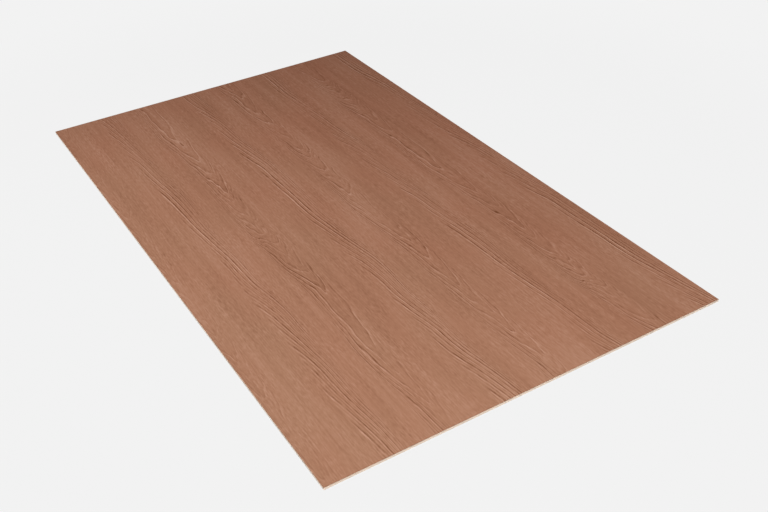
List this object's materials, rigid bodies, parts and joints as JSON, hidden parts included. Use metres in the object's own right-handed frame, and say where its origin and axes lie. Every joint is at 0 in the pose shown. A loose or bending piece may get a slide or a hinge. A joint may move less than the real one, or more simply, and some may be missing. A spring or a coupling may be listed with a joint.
{
  "type": "wood-plastic composite cladding panel",
  "caption": "Thin flat wall-cladding sheet: pale foamed wood-plastic core with an embossed brown wood-grain decor film on its face, glued or screwed to battens.",
  "frame": {"origin": "middle of the sheet's back face, which lies on the floor", "axes": "+X across the sheet's width, +Y along its length and its grain, +Z out of the decor face"},
  "size_m": [1.22, 2.05, 0.008],
  "materials": {
    "core": "matte",
    "decor": "satin"
  },
  "bodies": {
    "root": {"core_board": "core", "decor_film": "decor"}
  },
  "joints": []
}
